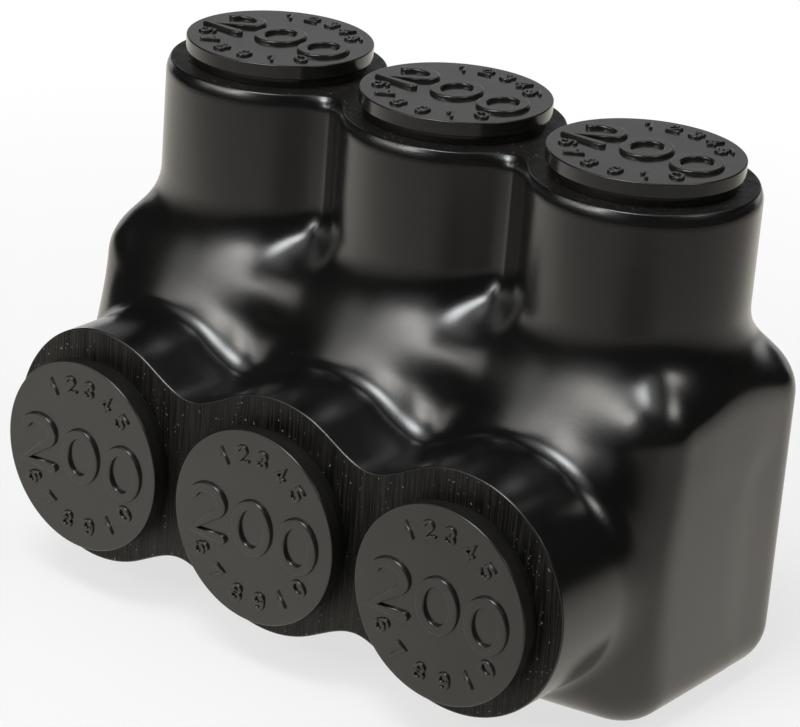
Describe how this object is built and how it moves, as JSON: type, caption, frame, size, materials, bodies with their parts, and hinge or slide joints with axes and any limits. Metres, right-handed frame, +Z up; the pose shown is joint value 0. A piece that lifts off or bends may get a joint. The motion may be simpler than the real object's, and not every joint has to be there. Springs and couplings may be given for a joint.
{
  "type": "insulated multi-tap connector",
  "caption": "Insulated wire connector: a metal block with side-by-side wire bores and clamping screws, sealed in a thick black dipped cover with a removable plug in each opening.",
  "frame": {"origin": "centre of the bounding box's bottom, on the surface that the connector stands on", "axes": "+X along the row of ports to the right, +Y from the wire openings to the back, +Z up along the screws"},
  "size_m": [0.124, 0.07, 0.0923],
  "materials": {
    "jacket": "satin to glossy soft vinyl",
    "plug": "satin moulded rubber",
    "block": "tin-plated, dull",
    "screw": "plated, machined"
  },
  "bodies": {
    "housing": {"insulating_jacket": "jacket", "connector_block": "block"},
    "screw_left": {"set_screw_left": "screw"},
    "wire_plug_left": {"wire_plug_left": "plug"},
    "screw_plug_left": {"screw_plug_left": "plug"},
    "screw_middle": {"set_screw_middle": "screw"},
    "wire_plug_middle": {"wire_plug_middle": "plug"},
    "screw_plug_middle": {"screw_plug_middle": "plug"},
    "screw_right": {"set_screw_right": "screw"},
    "wire_plug_right": {"wire_plug_right": "plug"},
    "screw_plug_right": {"screw_plug_right": "plug"}
  },
  "joints": [
    {"name": "screw_travel_left", "type": "slide", "parent": "housing", "child": "screw_left", "axis": [0, 0, 1], "range_m": [-0.016, 0.01]},
    {"name": "wire_plug_pull_left", "type": "slide", "parent": "housing", "child": "wire_plug_left", "axis": [0, -1, 0], "range_m": [0, 0.025]},
    {"name": "screw_plug_pull_left", "type": "slide", "parent": "housing", "child": "screw_plug_left", "axis": [0, 0, 1], "range_m": [0, 0.025]},
    {"name": "screw_travel_middle", "type": "slide", "parent": "housing", "child": "screw_middle", "axis": [0, 0, 1], "range_m": [-0.016, 0.01]},
    {"name": "wire_plug_pull_middle", "type": "slide", "parent": "housing", "child": "wire_plug_middle", "axis": [0, -1, 0], "range_m": [0, 0.025]},
    {"name": "screw_plug_pull_middle", "type": "slide", "parent": "housing", "child": "screw_plug_middle", "axis": [0, 0, 1], "range_m": [0, 0.025]},
    {"name": "screw_travel_right", "type": "slide", "parent": "housing", "child": "screw_right", "axis": [0, 0, 1], "range_m": [-0.016, 0.01]},
    {"name": "wire_plug_pull_right", "type": "slide", "parent": "housing", "child": "wire_plug_right", "axis": [0, -1, 0], "range_m": [0, 0.025]},
    {"name": "screw_plug_pull_right", "type": "slide", "parent": "housing", "child": "screw_plug_right", "axis": [0, 0, 1], "range_m": [0, 0.025]}
  ]
}
